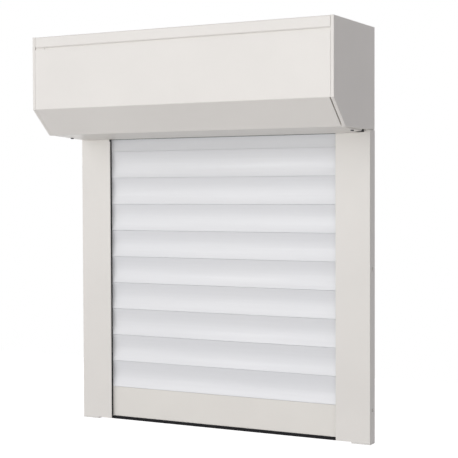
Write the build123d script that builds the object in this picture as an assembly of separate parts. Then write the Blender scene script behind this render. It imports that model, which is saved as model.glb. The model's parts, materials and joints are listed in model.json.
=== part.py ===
from build123d import *
import math
import os

os.makedirs("parts", exist_ok=True)

# Exterior roller shutter: X to the right, Y from outdoors to the wall, Z up, in millimetres.
# The origin is on the sill line, in the middle of the width and of the depth.

# casing
box_width = 610.0
box_height = 180.0
box_depth = 180.0
chamfer_rise = 46.0
chamfer_run = 50.0
shell_wall = 1.5
bend_radius = 1.0
lip_height = 20.2
lip_bevel_height = 2.0
lip_bevel_depth = 1.1
seam_gap = 3.4
tongue_gap = 0.8
tongue_clear = 4.0
flange_dip = 5.5
flange_gap = 0.8
cover_end_gap = 0.3
chamfer_end_gap = 2.4
shell_end_gap = 0.6

# end caps
rim_width = 6.2
cap_wall = 3.2
cap_edge_round = 1.2
collar_length = 20.0
collar_wall = 2.5
collar_fit = 0.2
pad_edge = 3.0
pad_height = 4.8
rib_wall = 2.4
rib_height = 3.0
spigot_length = 45.0
spigot_wall = 3.0
spigot_fit = 0.3
spigot_inset = 8.2

# guide rails
guide_length = 555.0
guide_width = 66.0
guide_depth = 22.0
guide_wall = 1.6
guide_edge_round = 0.8
channel_depth = 30.0
guide_top_gap = 0.8
keeper_rib = 1.2
keeper_share = 0.38
foot_plate = 2.5
foot_plug = 12.0
foot_fit = 0.3

# lip seals in the guide mouths
seal_width = 5.0
seal_reach = 0.3
seal_base_share = 0.35
seal_gap = 0.3

# curtain; a lead is how far a face lies in front of the guide's middle
slat_pitch = 51.2
slat_gap = 0.3
slat_thickness = 7.0
slat_top_lead = 4.4
slat_hollow_lead = 1.8
slat_lip_lead = 5.2
slat_hollow_share = 0.56
slat_edge_round = 0.5
slat_wall = 0.9
slat_engagement = 24.0
clip_wall = 1.8
clip_plug_length = 8.0
clip_plug_height = 18.0
clip_plug_thickness = 2.6

# hinge hooks between slats
hook_rise = 6.0
hook_neck = 1.6
hook_bead_radius = 1.7
hook_fit = 0.3

# bottom bar
bar_height = 57.7
bar_thickness = 9.0
bar_face_lead = 4.4
bar_wall = 1.5
weight_height = 30.0
weight_thickness = 4.0
bar_plug_wall = 1.8

# bottom seal
sill_gap = 0.9
bottom_seal_height = 6.4
bottom_seal_thickness = 8.0
bottom_seal_round = 2.2

# winding tube and its ends
tube_flats = 60.0
tube_wall = 0.9
tube_inset = 92.0
tube_rise = 92.0
tube_end_gap = 14.35
plug_fit = 0.3
plug_wall = 3.0
idler_plug_length = 60.0
plug_collar = 1.4
plug_collar_lip = 1.0
pin_radius = 6.0
pin_length = 67.0
pin_fit = 0.03

# bearing at the idler end
bearing_radius = 14.0
bearing_width = 8.0
ball_radius = 2.0
ball_count = 8
cage_wall = 1.4
cage_width = 5.6
cage_fit = 0.1
housing_wall = 4.0
bearing_gap = 1.5
bearing_fit = 0.02

# motor
motor_radius = 23.0
motor_free_room = 89.0
motor_wall = 6.0
motor_head_radius = 28.0
motor_head_length = 20.0
motor_gap = 0.6
crown_length = 18.0
crown_fit = 0.2
shaft_radius = 6.0
shaft_tail = 1.6
shaft_socket = 10.0
shaft_fit = 0.05
adaptor_length = 22.0
adaptor_gap = 1.0
hub_radius = 12.0
spoke_wall = 4.0

# brackets on the end caps
bracket_wall = 3.0
bracket_round = 5.0
bracket_edge = 7.0
bracket_screw_clear = 4.4
screw_radius = 2.5
screw_head_radius = 4.4
screw_head_height = 2.6
screw_length = 9.0
screw_fit = 0.1

# screws and rivets of the casing
cover_screw_inset = 12.5
cover_screw_setback = 50.0
cover_screw_head_radius = 3.0
cover_screw_head_height = 1.9
cover_screw_radius = 1.95
cover_screw_length = 9.0
rivet_inset = 15.0
rivet_radius = 2.0
rivet_head_radius = 4.0
rivet_head_height = 1.1
rivet_length = 6.0
rivet_shares = (-0.33, 0.0, 0.33)

# tube screws
tube_screw_radius = 2.0
tube_screw_head_radius = 4.0
tube_screw_head_height = 1.6
tube_screw_length = 5.0

# hanger straps and their clips
strap_inset = 175.0
strap_width = 22.0
strap_wall = 0.5
strap_lap = 11.0
strap_drop = 9.0
strap_clip_width = 26.0
strap_clip_sheet = 1.0
strap_clip_height = 9.0

# run-in funnels at the guide tops
funnel_wall = 1.2
funnel_depth = 18.0
funnel_rise = 12.0
funnel_flare = 5.6
funnel_fit = 0.2
finger_width = 2.8
finger_reach = 2.5
finger_drop = 9.5
finger_wall = 1.8
finger_gap = 0.8
notch_clear = 2.2

# cable outlet at the right
outlet_width = 12.0
outlet_depth = 9.0
outlet_fit = 0.2
outlet_setback = 8.0
bush_flange = 1.6
bush_bore_radius = 3.5
corner_notch_width = 14.6

# brush strip behind the cover's rear flange, where the curtain leaves the casing
brush_foot = 8.0
brush_wall = 1.2
brush_hang = 0.5
brush_fit = 0.3
brush_clear = 1.0
brush_end_gap = 0.8

# fixing holes
side_hole_radius = 3.0
side_access_radius = 6.0
side_hole_low = 60.0
side_hole_high = 310.0
wall_hole_radius = 3.25
wall_hole_span = 440.0
wall_hole_rise = 90.0
wall_hole_low = 48.0

# how far a cutting body runs past the face that it cuts
overrun = 1.0
match = 0.01

# places that follow from the sizes above
back = box_depth / 2
front = -back
floor = guide_length
top = floor + box_height
half_width = box_width / 2
rim_inner = half_width - rim_width
collar_end = rim_inner - collar_length
collar_inset = shell_wall + collar_fit
cap_inner = half_width - cap_wall
pad_face = cap_inner - pad_height
bracket_face = pad_face - bracket_wall
guide_front = back - guide_depth
guide_middle = back - guide_depth / 2
guide_inner = half_width - guide_width
web_inner = guide_inner + channel_depth
web_outer = web_inner + guide_wall
guide_top = floor - guide_top_gap
flange_rear = guide_front - flange_gap
flange_slope = math.atan2(flange_dip, flange_rear - front - chamfer_run)
seam_high = top - lip_height
seam_low = seam_high - seam_gap
tube_y = back - tube_inset
tube_z = floor + tube_rise
tube_inner_flats = tube_flats - 2 * tube_wall
plug_collar_radius = tube_flats / 2 / math.cos(math.pi / 8) + plug_collar_lip
slat_end = guide_inner + slat_engagement
bar_low = sill_gap + bottom_seal_height
bar_top = bar_low + bar_height
slat_count = math.ceil((floor - bar_top) / slat_pitch)
slat_levels = [bar_top + (slat_count - 1 - n) * slat_pitch for n in range(slat_count)]
hook_y = guide_middle - slat_lip_lead + (slat_thickness + slat_edge_round) / 2
cavity_radius = hook_bead_radius + hook_fit
pin_left = -bracket_face + bearing_gap
bearing_low = pin_left + bearing_gap / 2
bearing_high = bearing_low + bearing_width
ball_circle = (pin_radius + bearing_radius) / 2
race_radius = ball_circle + ball_radius + shaft_fit
motor_body_right = bracket_face - motor_head_length
tube_right = motor_body_right - motor_gap - plug_collar
tube_left = bearing_high + tube_end_gap + plug_collar
adaptor_low = tube_left + idler_plug_length + motor_free_room
adaptor_high = adaptor_low + adaptor_length
motor_body_left = adaptor_high + adaptor_gap
bracket_screw_span = (motor_head_radius + screw_head_radius + bracket_screw_clear) * math.sqrt(2)
bracket_size = bracket_screw_span + 2 * bracket_edge
strap_x = half_width - strap_inset
finger_inner = guide_inner - finger_width / 2 - finger_reach
finger_outer = finger_inner + finger_width
finger_front = flange_rear - finger_gap - finger_wall


def block(x, y, z):
    """A box between pairs of limits."""
    middle = [(low + high) / 2 for low, high in (x, y, z)]
    sides = [high - low for low, high in (x, y, z)]
    return Pos(*middle) * Box(*sides)


def rod_x(radius, x_low, x_high, y, z):
    """A round bar along X."""
    upright = Cylinder(radius, x_high - x_low, align=(Align.CENTER, Align.CENTER, Align.MIN))
    return Pos(x_low, y, z) * Rot(0, 90, 0) * upright


def side_face(points):
    """A face in the YZ plane."""
    return make_face(Polyline(*[(0, y, z) for y, z in points], close=True))


def along_x(face, x_low, x_high):
    return extrude(Pos(x_low, 0, 0) * face, amount=x_high - x_low, dir=(1, 0, 0))


def offset_points(path, distance, closed=False):
    """The path moved to its left, with mitred corners."""
    count = len(path)
    moved = []
    for n in range(count):
        sides = []
        if closed or n > 0:
            sides.append((path[n - 1], path[n]))
        if closed or n < count - 1:
            sides.append((path[n], path[(n + 1) % count]))
        normals = []
        for (y0, z0), (y1, z1) in sides:
            length = math.hypot(y1 - y0, z1 - z0)
            normals.append(((z0 - z1) / length, (y1 - y0) / length))
        sum_y = sum(normal[0] for normal in normals)
        sum_z = sum(normal[1] for normal in normals)
        scale = distance * len(normals) / (sum_y**2 + sum_z**2)
        moved.append((path[n][0] + sum_y * scale, path[n][1] + sum_z * scale))
    return moved


def sheet(path, wall):
    """The closed outline of a bent sheet whose outer side is the path."""
    return path + offset_points(path, wall)[::-1]


def rounded(face, corners, radius):
    """The face with the corners nearest to the given points rounded."""
    chosen = [v for v in face.vertices() if any(math.hypot(v.Y - y, v.Z - z) < match for y, z in corners)]
    return face.face().fillet_2d(radius, chosen)


def bent_sheet(path, wall, x_low, x_high):
    """A sheet along X with rounded bends."""
    inner = offset_points(path, wall)
    face = side_face(path + inner[::-1])
    face = rounded(face, path[1:-1], bend_radius + wall)
    face = rounded(face, inner[1:-1], bend_radius)
    return along_x(face, x_low, x_high)


def mirrored(part):
    return mirror(part, about=Plane.YZ)


def pan_screw(head_radius, head_height, shank_radius, shank_length):
    """Head above Z 0 with a socket, shank below it."""
    low = (Align.CENTER, Align.CENTER, Align.MIN)
    head = Cylinder(head_radius, head_height, align=low)
    head = fillet(head.edges().group_by(Axis.Z)[-1], head_height / 3)
    shank = Pos(0, 0, -shank_length) * Cylinder(shank_radius, shank_length, align=low)
    hexagon = RegularPolygon(shank_radius * 2 / 3, 6)
    return head + shank - Pos(0, 0, head_height / 2) * extrude(hexagon, amount=head_height)


def octagon(flats, x_low, x_high):
    """An octagonal bar on the tube's axis, flats up, down, front and rear."""
    face = RegularPolygon(flats / 2, 8, major_radius=False, rotation=22.5)
    bar = extrude(face, amount=x_high - x_low)
    return Pos(x_low, tube_y, tube_z) * Rot(0, 90, 0) * bar


def casing_outline(rear_step):
    """The casing's outer section, from the chamfer's lower edge round to its upper edge."""
    points = [(front + chamfer_run, floor)]
    if rear_step:
        points += [(flange_rear, floor - flange_dip), (flange_rear, floor)]
    return points + [(back, floor), (back, top), (front, top), (front, floor + chamfer_rise)]


def box_upper_shell():
    path = [(back, floor), (back, top), (front, top), (front, seam_high)]
    end = rim_inner - shell_end_gap
    shell = bent_sheet(path, shell_wall, -end, end)
    bevel = [(front, seam_high), (front + lip_bevel_depth, seam_high)]
    bevel += [(front, seam_high + lip_bevel_height)]
    shell -= along_x(side_face(bevel), -end - overrun, end + overrun)
    for x, z in wall_hole_places():
        shell -= Pos(x, back, z) * Rot(90, 0, 0) * Cylinder(wall_hole_radius, 3 * shell_wall)
    for x, y in rivet_places():
        shell -= Pos(x, y, top) * Cylinder(rivet_radius + screw_fit, 3 * shell_wall)
    return shell


def wall_hole_places():
    heights = (floor + wall_hole_low, floor + wall_hole_low + wall_hole_rise)
    return [(x, z) for x in (-wall_hole_span / 2, wall_hole_span / 2) for z in heights]


def rivet_places():
    x = half_width - rivet_inset
    return [(side * x, share * box_depth) for side in (-1, 1) for share in rivet_shares]


def inspection_cover():
    end = rim_inner - cover_end_gap
    path = [(front, seam_low), (front, floor + chamfer_rise)]
    path += [(front + chamfer_run, floor), (flange_rear, floor - flange_dip)]
    cover = bent_sheet(path, shell_wall, -end, end)
    tongue_y = front + shell_wall + tongue_gap
    tongue_top = top - tongue_clear
    tongue = [(front, seam_low), (front, seam_low - shell_wall)]
    tongue += [(tongue_y + shell_wall, seam_low - shell_wall)]
    tongue += [(tongue_y + shell_wall, tongue_top), (tongue_y, tongue_top), (tongue_y, seam_low)]
    reach = collar_end - cover_end_gap
    cover += along_x(side_face(tongue), -reach, reach)
    for x in (-1, 1):
        cover -= cover_screw_place(x) * Cylinder(cover_screw_radius + screw_fit, 4 * shell_wall)
    low = (floor - flange_dip - overrun, floor + overrun)
    finger = (-finger_outer - notch_clear, -finger_inner + notch_clear)
    cover -= block(finger, (finger_front - notch_clear, flange_rear + overrun), low)
    corner = (end - corner_notch_width, end + overrun)
    corner_front = outlet_limits(0)[1][0] - bush_flange - notch_clear
    cover -= block(corner, (corner_front, flange_rear + overrun), low)
    return cover - chamfer_end_slot(rim_inner + overrun)


def chamfer_end_slot(x_high):
    """The open joint at the right end of the chamfer, where the cover's spare length is."""
    y = (front - overrun, front + chamfer_run)
    z = (floor - overrun, floor + chamfer_rise)
    return block((rim_inner - chamfer_end_gap, x_high), y, z)


def exit_brush():
    """A foot that lies on the flange, and pile that hangs behind the flange's edge before the slats."""
    lead = max(slat_lip_lead, bar_face_lead)
    pile_y = (flange_rear + brush_fit, guide_middle - lead - brush_clear)
    seat = floor - flange_dip + shell_wall + brush_fit
    end = guide_inner - brush_end_gap
    pile = block((-end, end), pile_y, (floor - flange_dip - brush_hang, seat + brush_wall))
    climb = brush_foot * math.tan(flange_slope)
    fore = flange_rear - brush_foot
    foot = [(fore, seat + climb), (pile_y[0], seat), (pile_y[0], seat + brush_wall)]
    foot += [(fore, seat + climb + brush_wall)]
    return pile + along_x(side_face(foot), -(finger_inner - notch_clear), end)


def cover_screw_place(side):
    """Where a cover screw's head bears on the sloping underside, Z pointing out of it."""
    y = flange_rear - cover_screw_setback
    z = floor - (y - front - chamfer_run) * math.tan(flange_slope)
    return Pos(side * (half_width - cover_screw_inset), y, z) * Rot(180 - math.degrees(flange_slope), 0, 0)


def end_cap(side):
    """The right end cap, or its mirror image with no cable outlet."""
    plate = along_x(side_face(casing_outline(False)), rim_inner, half_width)
    outer_edges = plate.edges().filter_by_position(Axis.X, half_width - match, half_width + match)
    plate = fillet(outer_edges, cap_edge_round)
    outline = casing_outline(True)
    collar_points = offset_points(outline, collar_inset, closed=True)
    collar_outer = rounded(side_face(collar_points), collar_points, bend_radius)
    collar_inner = side_face(offset_points(outline, collar_inset + collar_wall, closed=True))
    cap = plate + along_x(collar_outer, collar_end, rim_inner)
    cap -= along_x(collar_inner, collar_end - overrun, cap_inner)
    pad = bracket_size / 2 + pad_edge
    cap += block((pad_face, cap_inner), (tube_y - pad, tube_y + pad), (tube_z - pad, tube_z + pad))
    inner = along_x(collar_inner, cap_inner - rib_height, cap_inner)
    ribs = (cap_inner - rib_height, cap_inner)
    upright = block(ribs, (tube_y - rib_wall / 2, tube_y + rib_wall / 2), (floor, top))
    level = block(ribs, (front, back), (tube_z - rib_wall / 2, tube_z + rib_wall / 2))
    cap += (upright + level) & inner
    cap += spigot()
    for y, z in bracket_screw_places():
        cap -= rod_x(screw_radius + screw_fit, pad_face - overrun, pad_face + pad_height, y, z)
    cap -= cover_screw_place(1) * Cylinder(cover_screw_radius + screw_fit, 2 * cover_screw_length)
    for x, y in rivet_places()[len(rivet_shares):]:
        cap -= Pos(x, y, top) * Cylinder(rivet_radius + screw_fit, 3 * rivet_length)
    if side > 0:
        return cap - block(*outlet_limits(0)) - chamfer_end_slot(rim_inner)
    return mirrored(cap)


def spigot():
    """The hollow tongue that goes down into the guide's closed chamber."""
    x = (web_outer + spigot_inset, half_width - guide_wall - spigot_fit)
    y = (guide_front + guide_wall + spigot_fit, back - guide_wall - spigot_fit)
    z = (floor - spigot_length, floor + collar_inset + collar_wall)
    hollow_x = (x[0] + spigot_wall, x[1] - spigot_wall)
    hollow_y = (y[0] + spigot_wall, y[1] - spigot_wall)
    return block(x, y, z) - block(hollow_x, hollow_y, (z[0] - overrun, floor - spigot_wall))


def outlet_limits(fit):
    """The opening for the cable bush in the right end cap's floor, smaller by the fit on each side."""
    x = (rim_inner - outlet_width + fit, rim_inner - fit)
    rear = flange_rear - collar_inset - collar_wall - outlet_setback
    y = (rear - outlet_depth + fit, rear - fit)
    return x, y, (floor - flange_dip, floor + collar_inset + collar_wall + overrun)


def cable_bush():
    """A bush in the outlet, with a flange under the end cap's floor."""
    x, y, z = outlet_limits(outlet_fit)
    middle_y = (y[0] + y[1]) / 2
    under = floor - flange_dip * (middle_y - front - chamfer_run) / (flange_rear - front - chamfer_run)
    seat = under + collar_inset
    tilt = Pos((x[0] + x[1]) / 2, middle_y, seat) * Rot(-math.degrees(flange_slope), 0, 0)
    wide = x[1] - x[0]
    deep = y[1] - y[0]
    flange = Pos(0, 0, -bush_flange / 2) * Box(wide, deep + 2 * bush_flange, bush_flange)
    neck = Pos(0, 0, collar_wall / 2) * Box(wide, deep - outlet_fit, collar_wall)
    bore = Cylinder(bush_bore_radius, 4 * (bush_flange + collar_wall))
    return tilt * (flange + neck - bore)


def cover_screws():
    head = (cover_screw_head_radius, cover_screw_head_height)
    screw = pan_screw(*head, cover_screw_radius, cover_screw_length)
    return [cover_screw_place(side) * screw for side in (-1, 1)]


def shell_rivets():
    head = Cylinder(rivet_head_radius, rivet_head_height, align=(Align.CENTER, Align.CENTER, Align.MIN))
    head = fillet(head.edges().group_by(Axis.Z)[-1], rivet_head_height / 2)
    shank = Pos(0, 0, -rivet_length / 2) * Cylinder(rivet_radius, rivet_length)
    return [Pos(x, y, top) * (head + shank) for x, y in rivet_places()]


def guide_rail():
    """The right guide rail: a closed chamber outside and a channel that opens inwards."""
    middle = Pos(half_width - guide_width / 2, guide_middle)
    outline = middle * Rectangle(guide_width, guide_depth)
    front_corners = [v for v in outline.vertices() if v.Y < guide_front + match]
    outline = fillet(front_corners, guide_edge_round)
    rail = extrude(Pos(0, 0, foot_plate) * outline, amount=guide_top - foot_plate)
    z = (foot_plate - overrun, guide_top + overrun)
    y = (guide_front + guide_wall, back - guide_wall)
    rail -= block((web_outer, half_width - guide_wall), y, z)
    rail -= block((guide_inner - overrun, web_inner), y, z)
    keeper = (guide_inner + seal_width, guide_inner + seal_width + keeper_rib)
    length = (foot_plate, guide_top)
    rail += block(keeper, (y[0], y[0] + keeper_share * front_seal_depth()), length)
    rail += block(keeper, (y[1] - keeper_share * rear_seal_depth(), y[1]), length)
    for height in (side_hole_low, side_hole_high):
        outer_wall = (half_width - 2 * guide_wall, half_width + overrun)
        web = (web_inner - overrun, web_outer + overrun)
        rail -= rod_x(side_hole_radius, *outer_wall, guide_middle, height)
        rail -= rod_x(side_access_radius, *web, guide_middle, height)
    return rail


def guide_foot():
    """The plug that closes the right guide's chamber from below."""
    plate = block((web_inner, half_width), (guide_front, back), (0, foot_plate))
    front_edges = plate.edges().filter_by(Axis.Z).group_by(Axis.Y)[0]
    plate = fillet(front_edges.group_by(Axis.X)[-1], guide_edge_round)
    x = (web_outer + foot_fit, half_width - guide_wall - foot_fit)
    y = (guide_front + guide_wall + foot_fit, back - guide_wall - foot_fit)
    plug = block(x, y, (foot_plate, foot_plate + foot_plug))
    hollow_x = (x[0] + guide_wall, x[1] - guide_wall)
    hollow_y = (y[0] + guide_wall, y[1] - guide_wall)
    return plate + plug - block(hollow_x, hollow_y, (foot_plate, foot_plate + foot_plug + overrun))


def lip_seal(depth, facing):
    """A rubber seal in the right guide's mouth: a base along the wall and a lip over the slats."""
    wall_y = guide_front + guide_wall if facing > 0 else back - guide_wall
    x = guide_inner + seal_width
    tip = guide_inner - seal_reach
    points = [(x, 0), (x, seal_base_share * depth), (guide_inner + seal_width / 2, depth)]
    points += [(tip, depth), (tip, depth / 2), (guide_inner, 0)]
    face = make_face(Polyline(*[(px, wall_y + facing * py, 0) for px, py in points], close=True))
    return extrude(Pos(0, 0, foot_plate) * face, amount=guide_top - foot_plate, dir=(0, 0, 1))


def front_seal_depth():
    """From the guide's front wall to just short of the curtain's foremost face."""
    return guide_depth / 2 - guide_wall - seal_gap - max(slat_lip_lead, bar_face_lead)


def rear_seal_depth():
    deepest = max(slat_thickness - slat_hollow_lead, bar_thickness - bar_face_lead)
    return guide_depth / 2 - guide_wall - seal_gap - deepest


def run_in_funnel(side):
    """Lines the top of a guide's channel and flares over it. The left one has a finger at the mouth."""
    x = (guide_inner + seal_width + keeper_rib + funnel_fit, web_inner - funnel_fit)
    y = (guide_front + guide_wall + funnel_fit, back - guide_wall - funnel_fit)
    z = (guide_top - funnel_depth, floor + shell_wall)
    lining = block(x, y, z)
    hollow_y = (y[0] + funnel_wall, y[1] - funnel_wall)
    lining -= block((x[0] - overrun, x[1] - funnel_wall), hollow_y, (z[0] - overrun, z[1] + overrun))
    flare_low = floor + funnel_wall / 2
    flare = [(y[0] + funnel_wall, flare_low), (y[0] + funnel_wall - funnel_flare, floor + funnel_rise)]
    wing = along_x(side_face(sheet(flare, funnel_wall)), guide_inner, x[1])
    rear = block((guide_inner, x[1]), (y[1] - funnel_wall, y[1]), (floor, floor + funnel_rise))
    funnel = lining + wing + rear
    if side > 0:
        return funnel
    bar_z = (floor + funnel_fit, z[1] + funnel_wall)
    bar = block((finger_inner, x[1]), (finger_front, y[0] + funnel_wall), bar_z)
    finger_y = (finger_front, finger_front + finger_wall)
    finger = block((finger_inner, finger_outer), finger_y, (floor - finger_drop, bar_z[1]))
    return mirrored(funnel + bar + finger)


def slat_section(z_low, z_high, front_shift, back_shift):
    """The slat's curved section, hollow towards the outside, between two heights."""
    middle = slat_gap / 2 + (slat_pitch - slat_gap) * slat_hollow_share
    low = (guide_middle - slat_lip_lead, slat_gap / 2)
    hollow = (guide_middle - slat_hollow_lead, middle)
    high = (guide_middle - slat_top_lead, slat_pitch - slat_gap / 2)
    edges = []
    for shift, order in ((front_shift, 1), (slat_thickness + back_shift, -1)):
        arc = [(0, y + shift, z) for y, z in (low, hollow, high)]
        edges.append(ThreePointArc(*arc[::order]))
    edges.append(Line(edges[0] @ 1, edges[1] @ 0))
    edges.append(Line(edges[1] @ 1, edges[0] @ 0))
    face = make_face(edges)
    if z_low > low[1] or z_high < high[1]:
        window = Pos(0, guide_middle, (z_low + z_high) / 2) * Rot(0, 90, 0)
        face = face & (window * Rectangle(z_high - z_low, guide_depth))
    return face


def hook(z):
    """The neck and bead on top of a slat whose joint line is at this height."""
    neck = (hook_y - hook_neck / 2, hook_y + hook_neck / 2)
    bead = rod_x(hook_bead_radius, -slat_end, slat_end, hook_y, z + hook_rise)
    return block((-slat_end, slat_end), neck, (z - slat_gap, z + hook_rise)) + bead


def hook_pocket(z):
    """The pocket that takes a hook, open downwards, with its joint line at this height."""
    reach = slat_end + overrun
    mouth = hook_neck / 2 + hook_fit
    slot = block((-reach, reach), (hook_y - mouth, hook_y + mouth), (z - slat_gap, z + hook_rise))
    return slot + rod_x(cavity_radius, -reach, reach, hook_y, z + hook_rise)


def slat():
    """One slat with its joint line at Z 0."""
    low = slat_gap / 2
    high = slat_pitch - slat_gap / 2
    face = slat_section(low, high, 0, 0)
    front_corners = [v for v in face.vertices() if v.Y < guide_middle - slat_top_lead + match]
    body = along_x(face.face().fillet_2d(slat_edge_round, front_corners), -slat_end, slat_end)
    chamber_low = hook_rise + cavity_radius + slat_wall
    chamber = slat_section(chamber_low, high - slat_wall, slat_wall, -slat_wall)
    body -= along_x(chamber, -slat_end - overrun, slat_end + overrun)
    return body + hook(slat_pitch) - hook_pocket(0)


def slat_end_clip():
    """The right end clip of a slat with its joint line at Z 0: a plate and a plug in the chamber."""
    section = slat_section(slat_gap / 2, slat_pitch - slat_gap / 2, 0, 0)
    plate = along_x(section, slat_end, slat_end + clip_wall)
    middle_z = slat_gap / 2 + (slat_pitch - slat_gap) * slat_hollow_share
    middle_y = guide_middle - slat_hollow_lead + slat_thickness / 2
    plug_y = (middle_y - clip_plug_thickness / 2, middle_y + clip_plug_thickness / 2)
    plug_z = (middle_z - clip_plug_height / 2, middle_z + clip_plug_height / 2)
    return plate + block((slat_end - clip_plug_length, slat_end), plug_y, plug_z)


def bar_outline():
    """The bottom bar's section, from its face to its rear."""
    face_y = guide_middle - bar_face_lead
    rear_y = face_y + bar_thickness
    high = bar_top - slat_gap / 2
    return [(face_y, bar_low), (rear_y, bar_low), (rear_y, high), (face_y, high)]


def bottom_bar():
    body = along_x(side_face(bar_outline()), -slat_end, slat_end)
    reach = slat_end + overrun
    body -= block((-reach, reach), *bar_chamber())
    return body + hook(bar_top) - hook_pocket(bar_low)


def bar_chamber():
    """Limits in Y and Z of the hollow in the bottom bar."""
    face_y = guide_middle - bar_face_lead
    y = (face_y + bar_wall, face_y + bar_thickness - bar_wall)
    return y, (bar_low + hook_rise + cavity_radius + bar_wall, bar_top - 2 * bar_wall)


def bottom_weight():
    (y_low, y_high), (z_low, z_high) = bar_chamber()
    middle = (y_low + y_high) / 2
    y = (middle - weight_thickness / 2, middle + weight_thickness / 2)
    reach = slat_end - clip_plug_length
    return block((-reach, reach), y, (z_low, z_low + weight_height))


def bar_end_plug():
    plate = along_x(side_face(bar_outline()), slat_end, slat_end + bar_plug_wall)
    (y_low, y_high), (z_low, z_high) = bar_chamber()
    plug_y = (y_low + plug_fit, y_high - plug_fit)
    return plate + block((slat_end - clip_plug_length + plug_fit, slat_end), plug_y, (z_low, z_high))


def bottom_seal():
    """A rubber strip whose bead hangs in the bottom bar's pocket."""
    y = (hook_y - bottom_seal_thickness / 2, hook_y + bottom_seal_thickness / 2)
    body = block((-slat_end, slat_end), y, (sill_gap, bar_low))
    body = fillet(body.edges().filter_by(Axis.X).group_by(Axis.Z)[0], bottom_seal_round)
    return body + hook(bar_low) & block((-slat_end, slat_end), y, (sill_gap, bar_top))


def winding_tube():
    tube = octagon(tube_flats, tube_left, tube_right)
    tube -= octagon(tube_inner_flats, tube_left - overrun, tube_right + overrun)
    for place in tube_screw_places():
        tube -= place * Cylinder(tube_screw_radius + screw_fit, 4 * tube_wall)
    return tube


def tube_screw_places():
    """On the upper and the lower flat, over the idler plug and the drive adaptor."""
    places = []
    for x in (tube_left + idler_plug_length / 2, (adaptor_low + adaptor_high) / 2):
        for turn in (0, 180):
            places.append(Pos(x, tube_y, tube_z) * Rot(turn, 0, 0) * Pos(0, 0, tube_flats / 2))
    return places


def tube_screws():
    screw = pan_screw(tube_screw_head_radius, tube_screw_head_height, tube_screw_radius, tube_screw_length)
    return [place * screw for place in tube_screw_places()]


def plug_holes(part):
    for place in tube_screw_places():
        part -= place * Cylinder(tube_screw_radius + screw_fit, 3 * tube_screw_length)
    return part


def idler_plug():
    flats = tube_inner_flats - 2 * plug_fit
    end = tube_left + idler_plug_length
    plug = octagon(flats, tube_left, end)
    plug -= octagon(flats - 2 * plug_wall, tube_left + plug_wall, end + overrun)
    plug += rod_x(plug_collar_radius, tube_left - plug_collar, tube_left, tube_y, tube_z)
    plug += rod_x(hub_radius, tube_left, end, tube_y, tube_z)
    plug += octagon(flats, end - plug_wall, end)
    plug = plug_holes(plug)
    return plug - rod_x(pin_radius + pin_fit, tube_left - 2 * plug_collar, end + overrun, tube_y, tube_z)


def idler_pin():
    return rod_x(pin_radius, pin_left, pin_left + pin_length, tube_y, tube_z)


def ring_x(outer, inner, x_low, x_high):
    ring = rod_x(outer, x_low, x_high, tube_y, tube_z)
    return ring - rod_x(inner, x_low - overrun, x_high + overrun, tube_y, tube_z)


def bearing_inner_ring():
    return ring_x(ball_circle - ball_radius - shaft_fit, pin_radius + pin_fit, bearing_low, bearing_high)


def bearing_outer_ring():
    return ring_x(bearing_radius, race_radius, bearing_low, bearing_high)


def ball_places():
    middle = (bearing_low + bearing_high) / 2
    turns = [2 * math.pi * n / ball_count for n in range(ball_count)]
    circle = [(ball_circle * math.cos(turn), ball_circle * math.sin(turn)) for turn in turns]
    return [Pos(middle, tube_y + y, tube_z + z) for y, z in circle]


def bearing_balls():
    return [place * Sphere(ball_radius) for place in ball_places()]


def bearing_cage():
    middle = (bearing_low + bearing_high) / 2
    cage = ring_x(ball_circle + cage_wall / 2, ball_circle - cage_wall / 2,
                  middle - cage_width / 2, middle + cage_width / 2)
    for place in ball_places():
        cage -= place * Sphere(ball_radius + cage_fit)
    return cage


def bracket_screw_places():
    half = bracket_screw_span / 2
    return [(tube_y + y, tube_z + z) for y in (-half, half) for z in (-half, half)]


def bracket_plate():
    """The right bracket plate, screwed to the end cap's pad."""
    half = bracket_size / 2
    plate = block((bracket_face, pad_face), (tube_y - half, tube_y + half), (tube_z - half, tube_z + half))
    plate = fillet(plate.edges().filter_by(Axis.X), bracket_round)
    for y, z in bracket_screw_places():
        plate -= rod_x(screw_radius + screw_fit, bracket_face - overrun, pad_face + overrun, y, z)
    return plate


def bearing_bracket():
    """The left bracket with the round housing of the bearing."""
    plate = mirrored(bracket_plate())
    housing = rod_x(bearing_radius + housing_wall, -bracket_face, bearing_high, tube_y, tube_z)
    bore = rod_x(bearing_radius + bearing_fit, bearing_low, bearing_high + overrun, tube_y, tube_z)
    relief = rod_x(race_radius, pin_left - bearing_gap / 2, bearing_low, tube_y, tube_z)
    return plate + housing - bore - relief


def bracket_screws():
    screw = pan_screw(screw_head_radius, screw_head_height, screw_radius, screw_length - screw_head_height)
    shown = Rot(0, -90, 0) * screw
    return [Pos(bracket_face, y, z) * shown for y, z in bracket_screw_places()]


def motor_head():
    head = rod_x(motor_head_radius, motor_body_right, bracket_face, tube_y, tube_z)
    return fillet(head.edges().group_by(Axis.X)[0], bend_radius)


def motor_body():
    body = rod_x(motor_radius, motor_body_left, motor_body_right, tube_y, tube_z)
    body -= rod_x(motor_radius - motor_wall, motor_body_left + shaft_socket + motor_wall,
                  motor_body_right - motor_wall, tube_y, tube_z)
    return body - rod_x(shaft_radius + shaft_fit, motor_body_left - overrun,
                        motor_body_left + shaft_socket, tube_y, tube_z)


def motor_output_shaft():
    high = motor_body_left + shaft_socket - motor_gap
    return rod_x(shaft_radius, adaptor_low - shaft_tail, high, tube_y, tube_z)


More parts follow.
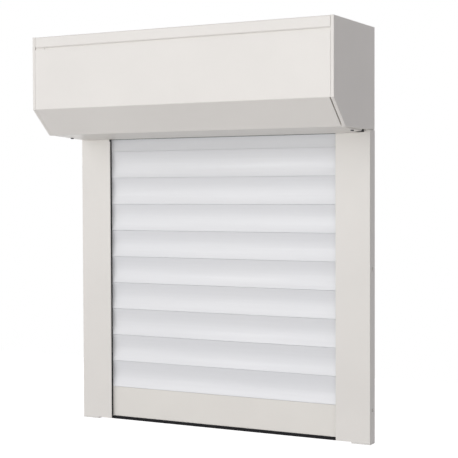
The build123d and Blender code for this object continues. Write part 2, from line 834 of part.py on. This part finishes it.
def drive_adaptor():
    """A spoked octagonal wheel that carries the tube on the motor's shaft."""
    flats = tube_inner_flats - 2 * plug_fit
    wheel = octagon(flats, adaptor_low, adaptor_high)
    wheel -= octagon(flats - 2 * plug_wall, adaptor_low - overrun, adaptor_high + overrun)
    wheel += rod_x(hub_radius, adaptor_low, adaptor_high, tube_y, tube_z)
    inside = octagon(flats - plug_wall, adaptor_low, adaptor_high)
    for turn in (0, 90):
        spoke = Rot(turn, 0, 0) * Box(adaptor_length, flats, spoke_wall)
        wheel += Pos((adaptor_low + adaptor_high) / 2, tube_y, tube_z) * spoke & inside
    wheel = plug_holes(wheel)
    bore = (adaptor_low - overrun, adaptor_high + overrun)
    return wheel - rod_x(shaft_radius + pin_fit, *bore, tube_y, tube_z)


def limit_crown():
    """The ring on the motor's neck that turns with the tube."""
    flats = tube_inner_flats - 2 * plug_fit
    crown = octagon(flats, tube_right - crown_length, tube_right)
    crown += rod_x(plug_collar_radius, tube_right, tube_right + plug_collar, tube_y, tube_z)
    return crown - rod_x(motor_radius + crown_fit, tube_right - crown_length - overrun,
                         tube_right + plug_collar + overrun, tube_y, tube_z)


def strap_clip(x):
    """A folded clip that rides on the top slat's hook."""
    bead_z = slat_levels[0] + slat_pitch + hook_rise
    low = bead_z - hook_bead_radius - strap_clip_sheet
    width = (x - strap_clip_width / 2, x + strap_clip_width / 2)
    reach = cavity_radius + strap_clip_sheet
    clip = block(width, (hook_y - reach, hook_y + reach), (low, low + strap_clip_height))
    cut = (width[0] - overrun, width[1] + overrun)
    clip -= rod_x(cavity_radius, *cut, hook_y, bead_z)
    slot = hook_neck / 2 + hook_fit
    return clip - block(cut, (hook_y - slot, hook_y + slot), (low - overrun, bead_z))


def hanger_strap(x):
    """A spring steel strap from the tube's rear flat down to its clip."""
    tube_rear = tube_y + tube_flats / 2 + strap_wall / 2
    clip_front = hook_y - cavity_radius - strap_clip_sheet - strap_wall / 2
    clip_low = slat_levels[0] + slat_pitch + hook_rise - hook_bead_radius - strap_clip_sheet
    clip_top = clip_low + strap_clip_height
    path = [(clip_front, clip_top - strap_clip_height / 2), (clip_front, clip_top)]
    path += [(tube_rear, tube_z - strap_drop), (tube_rear, tube_z + strap_lap)]
    face = side_face(offset_points(path, strap_wall / 2) + offset_points(path, -strap_wall / 2)[::-1])
    return along_x(face, x - strap_width / 2, x + strap_width / 2)


def build():
    """Every node by its name, as one solid or a list of solids."""
    nodes = {
        "box_upper_shell": box_upper_shell(),
        "inspection_cover": inspection_cover(),
        "exit_brush": exit_brush(),
        "end_cap_left": end_cap(-1),
        "end_cap_right": end_cap(1),
        "cable_bush": cable_bush(),
        "cover_screws": cover_screws(),
        "shell_rivets": shell_rivets(),
        "winding_tube": winding_tube(),
        "tube_screws": tube_screws(),
        "idler_plug": idler_plug(),
        "idler_pin": idler_pin(),
        "bearing_inner_ring": bearing_inner_ring(),
        "bearing_outer_ring": bearing_outer_ring(),
        "bearing_cage": bearing_cage(),
        "bearing_balls": bearing_balls(),
        "bearing_bracket": bearing_bracket(),
        "motor_bracket": bracket_plate(),
        "bracket_screws": bracket_screws() + [mirrored(screw) for screw in bracket_screws()],
        "motor_head": motor_head(),
        "motor_body": motor_body(),
        "motor_output_shaft": motor_output_shaft(),
        "drive_adaptor": drive_adaptor(),
        "limit_crown": limit_crown(),
        "hanger_strap_left": hanger_strap(-strap_x),
        "hanger_strap_right": hanger_strap(strap_x),
        "strap_clips": [strap_clip(-strap_x), strap_clip(strap_x)],
        "bottom_bar": bottom_bar(),
        "bottom_weight": bottom_weight(),
        "bottom_bar_end_plugs": [bar_end_plug(), mirrored(bar_end_plug())],
        "bottom_seal": bottom_seal(),
        "run_in_funnel_left": run_in_funnel(-1),
        "run_in_funnel_right": run_in_funnel(1),
    }
    pairs = {
        "guide_rail": guide_rail(),
        "guide_foot": guide_foot(),
        "front_seal": lip_seal(front_seal_depth(), 1),
        "rear_seal": lip_seal(rear_seal_depth(), -1),
    }
    for name, part in pairs.items():
        nodes[name + "_right"] = part
        nodes[name + "_left"] = mirrored(part)
    one_slat = slat()
    one_clip = slat_end_clip()
    clips = []
    for n, level in enumerate(slat_levels):
        nodes[f"slat_{n + 1:02d}"] = Pos(0, 0, level) * one_slat
        clips += [Pos(0, 0, level) * one_clip, Pos(0, 0, level) * mirrored(one_clip)]
    nodes["slat_end_clips"] = clips
    return nodes


for name, shape in build().items():
    solids = shape if isinstance(shape, list) else [shape]
    solids = [solid for item in solids for solid in item.solids()]
    export_step(solids[0] if len(solids) == 1 else Compound(children=solids), f"parts/{name}.step")
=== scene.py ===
import json
import math

import bpy
from mathutils import Matrix, Vector


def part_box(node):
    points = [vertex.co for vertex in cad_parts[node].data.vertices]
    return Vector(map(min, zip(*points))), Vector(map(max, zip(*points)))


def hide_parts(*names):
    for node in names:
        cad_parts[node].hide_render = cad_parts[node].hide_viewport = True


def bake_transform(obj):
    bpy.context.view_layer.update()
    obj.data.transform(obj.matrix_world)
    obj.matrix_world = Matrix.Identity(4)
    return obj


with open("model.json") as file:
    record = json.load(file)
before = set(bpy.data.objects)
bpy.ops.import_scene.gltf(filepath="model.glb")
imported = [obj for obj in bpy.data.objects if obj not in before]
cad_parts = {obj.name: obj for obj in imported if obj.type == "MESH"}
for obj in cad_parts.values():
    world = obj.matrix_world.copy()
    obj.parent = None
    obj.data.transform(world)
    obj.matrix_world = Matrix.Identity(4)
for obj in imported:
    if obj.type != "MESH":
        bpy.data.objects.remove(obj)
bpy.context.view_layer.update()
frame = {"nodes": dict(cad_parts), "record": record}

scene = bpy.context.scene
mm = 0.001
print("frame loaded,", len(frame["nodes"]), "nodes")


# small helpers

# #rrggbb as written on screen, to the linear values that Blender stores
def linear(hexColour):
    parts = [int(hexColour[n:n + 2], 16) / 255 for n in (1, 3, 5)]
    return [c / 12.92 if c <= 0.04045 else ((c + 0.055) / 1.055) ** 2.4 for c in parts] + [1.0]


# a linear colour made darker or lighter by a factor, or by one factor for each channel
def toned(colour, *factors):
    factors = factors if len(factors) == 3 else factors * 3
    return [min(1.0, c * factor) for c, factor in zip(colour, factors)] + [1.0]


def addNode(tree, kind, settings=None, inputs=None):
    node = tree.nodes.new("ShaderNode" + kind)
    for name, value in (settings or {}).items():
        setattr(node, name, value)
    for name, value in (inputs or {}).items():
        if isinstance(value, bpy.types.NodeSocket):
            tree.links.new(value, node.inputs[name])
        else:
            node.inputs[name].default_value = value
    return node


def newMaterial(name):
    material = bpy.data.materials.new(name)
    material.use_nodes = True
    material.node_tree.nodes.clear()
    return material, material.node_tree


def finishMaterial(tree, shader):
    addNode(tree, "OutputMaterial", inputs={"Surface": shader.outputs[0]})


# soft noise whose blobs are sizeMm wide, drawn out along an axis where stretch is small
def noise(tree, sizeMm, stretch=(1, 1, 1), detail=2.0):
    place = addNode(tree, "TexCoord").outputs["Object"]
    scaled = addNode(tree, "Mapping", inputs={"Vector": place, "Scale": [s / (sizeMm * mm) for s in stretch]})
    return addNode(tree, "TexNoise", inputs={"Vector": scaled.outputs[0], "Scale": 1.0, "Detail": detail})


def spread(tree, value, low, high, fromLow=0.3, fromHigh=0.7):
    ranged = addNode(tree, "MapRange", inputs={"Value": value, "From Min": fromLow, "From Max": fromHigh,
                                               "To Min": low, "To Max": high})
    return ranged.outputs[0]


def blendColours(tree, factor, first, second):
    mixed = addNode(tree, "Mix", {"data_type": "RGBA"}, {0: factor, 6: first, 7: second})
    return mixed.outputs[2]


# 1 on sharp edges and 0 on flats, with the rounded normal that makes edges catch the light
def edgeMask(tree, radiusMm):
    rounded = addNode(tree, "Bevel", {"samples": 4}, {"Radius": radiusMm * mm}).outputs[0]
    flat = addNode(tree, "NewGeometry").outputs["Normal"]
    alike = addNode(tree, "VectorMath", {"operation": "DOT_PRODUCT"}, {0: rounded, 1: flat}).outputs["Value"]
    return spread(tree, alike, 1.0, 0.0, 0.82, 0.99), rounded


def bump(tree, height, heightMm, normal=None, strength=1.0):
    inputs = {"Height": height, "Distance": heightMm * mm, "Strength": strength}
    if normal is not None:
        inputs["Normal"] = normal
    return addNode(tree, "Bump", inputs=inputs).outputs[0]


# stage: white surroundings, a low soft key lamp, a shadowless front fill and a soft lamp behind for the back,
# with the camera at the photograph's angle

photoView = {"place": (1.10644, -1.94838, 0.44601), "turn": 28.2135, "dip": 1.7098, "lean": -0.2048, "lens": 96.852,
             "sensor": 36, "near": 0.05, "far": 60}
studio = {"ambient": 0.395, "ambientColour": "#fcf9ff",
          "floorDrop": 0.6, "floorSize": 9.0, "floorColour": "#f4f4f2", "floorLift": 0.6,
          "key": {"strength": 1.24, "height": 10, "turn": -30, "softness": 70, "shadow": True},
          "fill": {"strength": 0.62, "height": 8, "turn": -25, "softness": 20, "shadow": False},
          "rear": {"strength": 0.70, "height": 14, "turn": -152, "softness": 60, "shadow": True}}
white = (1, 1, 1, 1)


def placeCamera():
    camera = bpy.data.objects.new("photoCamera", bpy.data.cameras.new("photoCamera"))
    scene.collection.objects.link(camera)
    turn, dip, lean = (math.radians(photoView[key]) for key in ("turn", "dip", "lean"))
    level = Vector((-math.sin(turn), math.cos(turn), 0))
    side = Vector((math.cos(turn), math.sin(turn), 0))
    ahead = level * math.cos(dip) - Vector((0, 0, 1)) * math.sin(dip)
    above = Vector((0, 0, 1)) * math.cos(dip) + level * math.sin(dip)
    right = side * math.cos(lean) + above * math.sin(lean)
    up = above * math.cos(lean) - side * math.sin(lean)
    axes = Matrix((right, up, -ahead)).transposed().to_4x4()
    camera.matrix_world = Matrix.Translation(photoView["place"]) @ axes
    camera.data.lens = photoView["lens"]
    camera.data.sensor_width = photoView["sensor"]
    camera.data.clip_start, camera.data.clip_end = photoView["near"], photoView["far"]
    scene.camera = camera


# 1 where the camera, or a reflection, looks straight at the surroundings
def seenDirectly(tree):
    path = addNode(tree, "LightPath").outputs
    seen = addNode(tree, "Math", {"operation": "MAXIMUM"}, {0: path["Is Camera Ray"], 1: path["Is Glossy Ray"]})
    seen = addNode(tree, "Math", {"operation": "MAXIMUM"}, {0: seen.outputs[0], 1: path["Is Transmission Ray"]})
    return seen.outputs[0]


# a distant lamp: height above the horizon, turn from straight ahead (left is minus), all in degrees
def addLamp(name, look):
    lamp = bpy.data.objects.new(name, bpy.data.lights.new(name, "SUN"))
    lamp.data.energy = look["strength"]
    lamp.data.angle = math.radians(look["softness"])
    lamp.data.use_shadow = look["shadow"]
    height, turn = math.radians(look["height"]), math.radians(look["turn"])
    towards = Vector((math.sin(turn) * math.cos(height), -math.cos(turn) * math.cos(height), math.sin(height)))
    lamp.rotation_euler = towards.to_track_quat("Z", "Y").to_euler()
    scene.collection.objects.link(lamp)


def makeStudio():
    world = bpy.data.worlds.new("whiteStudio")
    world.use_nodes = True
    scene.world = world
    tree = world.node_tree
    tree.nodes.clear()
    soft = addNode(tree, "Background", inputs={"Color": linear(studio["ambientColour"]),
                                               "Strength": studio["ambient"]})
    bright = addNode(tree, "Background", inputs={"Color": white, "Strength": 1.0})
    both = addNode(tree, "MixShader", inputs={0: seenDirectly(tree), 1: soft.outputs[0], 2: bright.outputs[0]})
    addNode(tree, "OutputWorld", inputs={"Surface": both.outputs[0]})

    addLamp("keyLight", studio["key"])
    addLamp("fillLight", studio["fill"])
    addLamp("rearLight", studio["rear"])

    half = studio["floorSize"] / 2
    mesh = bpy.data.meshes.new("paleFloor")
    drop = -studio["floorDrop"]
    mesh.from_pydata([(-half, -half, drop), (half, -half, drop), (half, half, drop), (-half, half, drop)], [],
                     [(0, 1, 2, 3)])
    floor = bpy.data.objects.new("paleFloor", mesh)
    scene.collection.objects.link(floor)
    material, tree = newMaterial("matt white studio paper")
    paper = addNode(tree, "BsdfDiffuse", inputs={"Color": linear(studio["floorColour"])})
    lift = addNode(tree, "Emission", inputs={"Color": white, "Strength": studio["floorLift"]})
    lifted = addNode(tree, "AddShader", inputs={0: paper.outputs[0], 1: lift.outputs[0]})
    both = addNode(tree, "MixShader", inputs={0: seenDirectly(tree), 1: paper.outputs[0], 2: lifted.outputs[0]})
    finishMaterial(tree, both)
    mesh.materials.append(material)


placeCamera()
makeStudio()
scene.view_settings.view_transform = "Standard"
print("camera and studio ready")


# finishes

# polyester powder coat baked on aluminium: satin, with a fine orange peel that softens every reflection
powderCoat = {
    "casing": {"colour": "#e8e5df", "roughness": 0.42, "peelMm": 1.7, "peelHeightMm": 0.012, "lines": None},
    "endCap": {"colour": "#e8e5df", "roughness": 0.46, "peelMm": 1.4, "peelHeightMm": 0.016, "lines": None},
    "rail": {"colour": "#dfdcd6", "roughness": 0.40, "peelMm": 1.7, "peelHeightMm": 0.012, "lines": (1, 1, 0.01)},
    "bar": {"colour": "#e0ddd6", "roughness": 0.40, "peelMm": 1.7, "peelHeightMm": 0.012, "lines": (0.01, 1, 1)},
}
coating = {"edgeMm": 0.6, "edgeTone": 1.03, "cloudMm": 120, "cloudTone": 0.965, "grainMm": 0.8, "speckTone": 0.93,
           "speckMost": 0.35, "lineMm": 2.2, "lineHeightMm": 0.006, "smoother": 0.04, "rougher": 0.06}


def powderCoated(name, look):
    material, tree = newMaterial(name)
    edge, rounded = edgeMask(tree, coating["edgeMm"])
    cloud = noise(tree, coating["cloudMm"], detail=3.0).outputs[0]   # slight unevenness over a hand's width
    grain = noise(tree, coating["grainMm"], detail=1.0).outputs[0]   # powder grains, coarser than the real 0.1 mm
    base = linear(look["colour"])
    colour = blendColours(tree, spread(tree, cloud, 0.0, 1.0), base, toned(base[:3], coating["cloudTone"]))
    specks = spread(tree, grain, 0.0, coating["speckMost"], 0.55, 0.75)
    colour = blendColours(tree, specks, colour, toned(base[:3], coating["speckTone"]))
    colour = blendColours(tree, edge, colour, toned(base[:3], coating["edgeTone"]))   # thinner and paler on edges
    peel = noise(tree, look["peelMm"], detail=1.5).outputs[0]
    normal = bump(tree, peel, look["peelHeightMm"], rounded)
    if look["lines"]:                                     # faint die lines along the extrusion
        lines = noise(tree, coating["lineMm"], look["lines"], 2.0).outputs[0]
        normal = bump(tree, lines, coating["lineHeightMm"], normal)
    rough = spread(tree, grain, look["roughness"] - coating["smoother"], look["roughness"] + coating["rougher"])
    shader = addNode(tree, "BsdfPrincipled", inputs={"Base Color": colour, "Roughness": rough, "IOR": 1.5,
                                                     "Normal": normal})
    finishMaterial(tree, shader)
    return material


# stove enamel on roll-formed aluminium strip: smoother and cooler than the powder coat, with faint roll lines
enamel = {"colour": "#dfe0e1", "roughness": 0.34, "lineMm": 3.0, "lineHeightMm": 0.01, "waveMm": 45,
          "waveHeightMm": 0.05, "edgeMm": 0.5, "edgeTone": 1.03, "cloudMm": 160, "cloudTone": (0.965, 0.97, 0.98),
          "streakTone": 0.95, "smoother": 0.03, "rougher": 0.05}


def enamelled(name):
    material, tree = newMaterial(name)
    edge, rounded = edgeMask(tree, enamel["edgeMm"])
    cloud = noise(tree, enamel["cloudMm"], (0.4, 1, 1), 2.0).outputs[0]
    streak = noise(tree, enamel["lineMm"], (0.012, 1, 1), 3.0).outputs[0]
    base = linear(enamel["colour"])
    colour = blendColours(tree, spread(tree, cloud, 0.0, 1.0), base, toned(base[:3], *enamel["cloudTone"]))
    colour = blendColours(tree, spread(tree, streak, 0.0, 0.5), colour, toned(base[:3], enamel["streakTone"]))
    colour = blendColours(tree, edge, colour, toned(base[:3], enamel["edgeTone"]))
    normal = bump(tree, streak, enamel["lineHeightMm"], rounded)
    wave = noise(tree, enamel["waveMm"], (0.5, 1, 1), 1.0).outputs[0]   # thin strip is never quite flat
    normal = bump(tree, wave, enamel["waveHeightMm"], normal)
    rough = spread(tree, streak, enamel["roughness"] - enamel["smoother"],
                   enamel["roughness"] + enamel["rougher"])
    shader = addNode(tree, "BsdfPrincipled", inputs={"Base Color": colour, "Roughness": rough, "IOR": 1.5,
                                                     "Normal": normal})
    finishMaterial(tree, shader)
    return material


# extruded EPDM rubber: deep matt black that greys where it has been rubbed, with fine die lines
rubber = {"colour": "#0b0b0c", "bloom": "#222226", "roughness": 0.78, "lineMm": 0.9, "lineHeightMm": 0.03,
          "edgeMm": 0.3, "dustMm": 14, "dustMost": 0.45, "sheen": 0.2, "smoother": 0.06, "rougher": 0.1}


def extrudedRubber(name, stretch):
    material, tree = newMaterial(name)
    edge, rounded = edgeMask(tree, rubber["edgeMm"])
    dust = noise(tree, rubber["dustMm"], detail=4.0).outputs[0]
    lines = noise(tree, rubber["lineMm"], stretch, 2.0).outputs[0]
    rubbed = linear(rubber["bloom"])
    colour = blendColours(tree, spread(tree, dust, 0.0, rubber["dustMost"]), linear(rubber["colour"]), rubbed)
    colour = blendColours(tree, edge, colour, rubbed)
    normal = bump(tree, lines, rubber["lineHeightMm"], rounded)
    rough = spread(tree, dust, rubber["roughness"] - rubber["smoother"], rubber["roughness"] + rubber["rougher"])
    shader = addNode(tree, "BsdfPrincipled", inputs={"Base Color": colour, "Roughness": rough, "IOR": 1.52,
                                                     "Specular IOR Level": rubber["sheen"], "Normal": normal})
    finishMaterial(tree, shader)
    return material


# injection moulded plastic: an even tone with the fine sparked grain of its mould and paler, rubbed edges
moulded = {
    "polyamideBlack": {"colour": "#1a1a1b", "rubbed": "#3a3a3c", "roughness": 0.52, "grainMm": 0.7},
    "asaWhite": {"colour": "#dcdad4", "rubbed": "#e8e7e3", "roughness": 0.48, "grainMm": 0.8},
    "polyamideGrey": {"colour": "#62666a", "rubbed": "#7d8185", "roughness": 0.50, "grainMm": 0.7},
}
moulding = {"edgeMm": 0.4, "flowMm": 25, "flowTone": 0.88, "grainHeightMm": 0.04, "unevenGloss": 0.07}


def mouldedPlastic(name, look):
    material, tree = newMaterial(name)
    edge, rounded = edgeMask(tree, moulding["edgeMm"])
    flow = noise(tree, moulding["flowMm"], detail=3.0).outputs[0]
    grain = noise(tree, look["grainMm"], detail=2.0).outputs[0]
    base = linear(look["colour"])
    colour = blendColours(tree, spread(tree, flow, 0.0, 1.0), base, toned(base[:3], moulding["flowTone"]))
    colour = blendColours(tree, edge, colour, linear(look["rubbed"]))
    normal = bump(tree, grain, moulding["grainHeightMm"], rounded)
    uneven = moulding["unevenGloss"]
    rough = spread(tree, grain, look["roughness"] - uneven, look["roughness"] + uneven)
    shader = addNode(tree, "BsdfPrincipled", inputs={"Base Color": colour, "Roughness": rough, "IOR": 1.53,
                                                     "Normal": normal})
    finishMaterial(tree, shader)
    return material


# bare and plated metals: what the eye gets is the streak of the tool and the play of roughness
metals = {
    "screwSteel": {"colour": "#3f3f42", "second": "#5b5b5f", "worn": "#9a9a9c", "roughness": 0.40,
                   "sizeMm": 1.2, "stretch": (1, 1, 1), "heightMm": 0.02},
    "rivetAluminium": {"colour": "#c9cacc", "second": "#b4b5b8", "worn": "#dededf", "roughness": 0.36,
                       "sizeMm": 0.8, "stretch": (1, 1, 1), "heightMm": 0.015},
    "springSteel": {"colour": "#4a5468", "second": "#5f5a58", "worn": "#8f939b", "roughness": 0.30,
                    "sizeMm": 1.5, "stretch": (1, 1, 0.03), "heightMm": 0.005},
    "bearingSteel": {"colour": "#b9babd", "second": "#a6a8ac", "worn": "#d0d1d3", "roughness": 0.20,
                     "sizeMm": 0.6, "stretch": (1, 0.1, 0.1), "heightMm": 0.004},
}
machining = {"edgeMm": 0.3, "smoother": 0.06, "rougher": 0.10}


def metal(name, look):
    material, tree = newMaterial(name)
    edge, rounded = edgeMask(tree, machining["edgeMm"])
    streak = noise(tree, look["sizeMm"], look["stretch"], 2.5).outputs[0]
    colour = blendColours(tree, spread(tree, streak, 0.0, 1.0), linear(look["colour"]), linear(look["second"]))
    colour = blendColours(tree, edge, colour, linear(look["worn"]))
    normal = bump(tree, streak, look["heightMm"], rounded)
    rough = spread(tree, streak, look["roughness"] - machining["smoother"],
                   look["roughness"] + machining["rougher"])
    shader = addNode(tree, "BsdfPrincipled", inputs={"Base Color": colour, "Metallic": 1.0, "Roughness": rough,
                                                     "Normal": normal})
    finishMaterial(tree, shader)
    return material


# hot-dip zinc on steel: grey crystals a few millimetres wide, each at its own tone and gloss
zinc = {"colour": "#9fa3a8", "bright": "#bdc1c5", "worn": "#cfd2d5", "spangleMm": 7.0, "roughness": 0.38,
        "edgeMm": 0.4, "hazeMm": 2.0, "hazeHeightMm": 0.01, "smoother": 0.1, "rougher": 0.12}


def galvanised(name):
    material, tree = newMaterial(name)
    edge, rounded = edgeMask(tree, zinc["edgeMm"])
    place = addNode(tree, "TexCoord").outputs["Object"]
    spangles = addNode(tree, "TexVoronoi", inputs={"Vector": place, "Scale": 1 / (zinc["spangleMm"] * mm)})
    tone = addNode(tree, "SeparateColor", inputs={0: spangles.outputs["Color"]}).outputs[0]
    haze = noise(tree, zinc["hazeMm"], detail=3.0).outputs[0]
    colour = blendColours(tree, tone, linear(zinc["colour"]), linear(zinc["bright"]))
    colour = blendColours(tree, edge, colour, linear(zinc["worn"]))
    normal = bump(tree, haze, zinc["hazeHeightMm"], rounded)
    rough = spread(tree, tone, zinc["roughness"] - zinc["smoother"], zinc["roughness"] + zinc["rougher"], 0.0, 1.0)
    shader = addNode(tree, "BsdfPrincipled", inputs={"Base Color": colour, "Metallic": 1.0, "Roughness": rough,
                                                     "Normal": normal})
    finishMaterial(tree, shader)
    return material


# wet paint on the motor's steel tube: even grey with a slight orange peel
motorPaint = {"colour": "#b9bbbd", "roughness": 0.44, "peelMm": 1.8, "peelHeightMm": 0.02, "lines": None}

casingCoat = powderCoated("aluminium, cream powder coat, casing", powderCoat["casing"])
endCapCoat = powderCoated("cast aluminium, cream powder coat", powderCoat["endCap"])
railCoat = powderCoated("extruded aluminium, cream powder coat, upright", powderCoat["rail"])
barCoat = powderCoated("extruded aluminium, cream powder coat, level", powderCoat["bar"])
slatEnamel = enamelled("roll-formed aluminium, white stove enamel")
uprightRubber = extrudedRubber("EPDM rubber, extruded upright", (1, 1, 0.01))
levelRubber = extrudedRubber("EPDM rubber, extruded level", (0.01, 1, 1))
blackPlastic = mouldedPlastic("black polyamide, moulded", moulded["polyamideBlack"])
whitePlastic = mouldedPlastic("white ASA, moulded", moulded["asaWhite"])
greyPlastic = mouldedPlastic("grey polyamide, moulded", moulded["polyamideGrey"])
screwSteel = metal("steel, blackened", metals["screwSteel"])
rivetAluminium = metal("aluminium, drawn", metals["rivetAluminium"])
springSteel = metal("spring steel, blued", metals["springSteel"])
bearingSteel = metal("bearing steel, ground", metals["bearingSteel"])
zincSteel = galvanised("steel, hot-dip galvanised")
motorCoat = powderCoated("steel tube, grey paint", motorPaint)

finishes = {
    "casing_white": casingCoat, "end_cap_white": endCapCoat, "rail_white": railCoat, "slat_white": slatEnamel,
    "black_rubber": uprightRubber, "black_plastic": blackPlastic, "white_plastic": whitePlastic,
    "grey_plastic": greyPlastic, "dark_screw": screwSteel, "rivet_metal": rivetAluminium,
    "zinc_steel": zincSteel, "spring_steel": springSteel, "bearing_steel": bearingSteel,
    "motor_steel": motorCoat,
}
levelPieces = {"bottom_bar": barCoat, "bottom_seal": levelRubber}    # extruded along the width

for part in frame["record"]["subparts"]:
    node = frame["nodes"][part["node"]]
    finish = levelPieces.get(part["node"], finishes[part["material_slot"]])
    for n in range(max(1, len(node.material_slots))):
        if n < len(node.material_slots):
            node.material_slots[n].material = finish
        else:
            node.data.materials.append(finish)


# hanger straps: blued spring steel that runs from the tube's rear flat down to the curtain's clip

strap = {"sheetMm": 0.5, "clipLapMm": 4.5, "tubeLapMm": 20.0, "bendMm": 9.0, "bendSteps": 8, "bendShare": 0.8,
         "columns": 10}


# the strap's centre line in Y and Z, from the clip up to the tube, with its two bends rounded
def strapPath(low, high):
    half = strap["sheetMm"] * mm / 2
    clipY, tubeY = high.y - half, low.y + half
    corners = [Vector((clipY, low.z)), Vector((clipY, low.z + strap["clipLapMm"] * mm)),
               Vector((tubeY, high.z - strap["tubeLapMm"] * mm)), Vector((tubeY, high.z))]
    points = [corners[0]]
    for before, corner, after in zip(corners, corners[1:], corners[2:]):
        shorter = min((corner - before).length, (after - corner).length)
        reach = min(strap["bendMm"] * mm, shorter * strap["bendShare"])
        start = corner + (before - corner).normalized() * reach
        end = corner + (after - corner).normalized() * reach
        for n in range(strap["bendSteps"] + 1):
            t = n / strap["bendSteps"]
            points.append(start * (1 - t) ** 2 + corner * 2 * t * (1 - t) + end * t ** 2)
    return points + [corners[-1]]


def makeStrap(side):
    low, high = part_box("hanger_strap_" + side)
    path = strapPath(low, high)
    half = strap["sheetMm"] * mm / 2
    columns = [low.x + (high.x - low.x) * n / strap["columns"] for n in range(strap["columns"] + 1)]
    verts, faces = [], []
    for n, point in enumerate(path):
        ahead = (path[min(n + 1, len(path) - 1)] - path[max(n - 1, 0)]).normalized()
        across = Vector((ahead.y, -ahead.x)) * half
        for face in (point - across, point + across):
            verts += [(x, face.x, face.y) for x in columns]
    width = len(columns)
    for n in range(len(path) - 1):
        a, b = n * 2 * width, (n + 1) * 2 * width
        for k in range(width - 1):
            faces.append((a + k, a + k + 1, b + k + 1, b + k))
            faces.append((a + width + k, b + width + k, b + width + k + 1, a + width + k + 1))
        faces.append((a, b, b + width, a + width))
        faces.append((a + width - 1, a + 2 * width - 1, b + 2 * width - 1, b + width - 1))
    last = (len(path) - 1) * 2 * width
    for k in range(width - 1):
        faces.append((k, width + k, width + k + 1, k + 1))
        faces.append((last + k, last + k + 1, last + width + k + 1, last + width + k))
    mesh = bpy.data.meshes.new("springStrap_" + side)
    mesh.from_pydata(verts, [], faces)
    mesh.materials.append(springSteel)
    piece = bpy.data.objects.new("springStrap_" + side, mesh)
    scene.collection.objects.link(piece)
    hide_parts("hanger_strap_" + side)
    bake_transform(piece)


makeStrap("left")
makeStrap("right")
print("straps done")
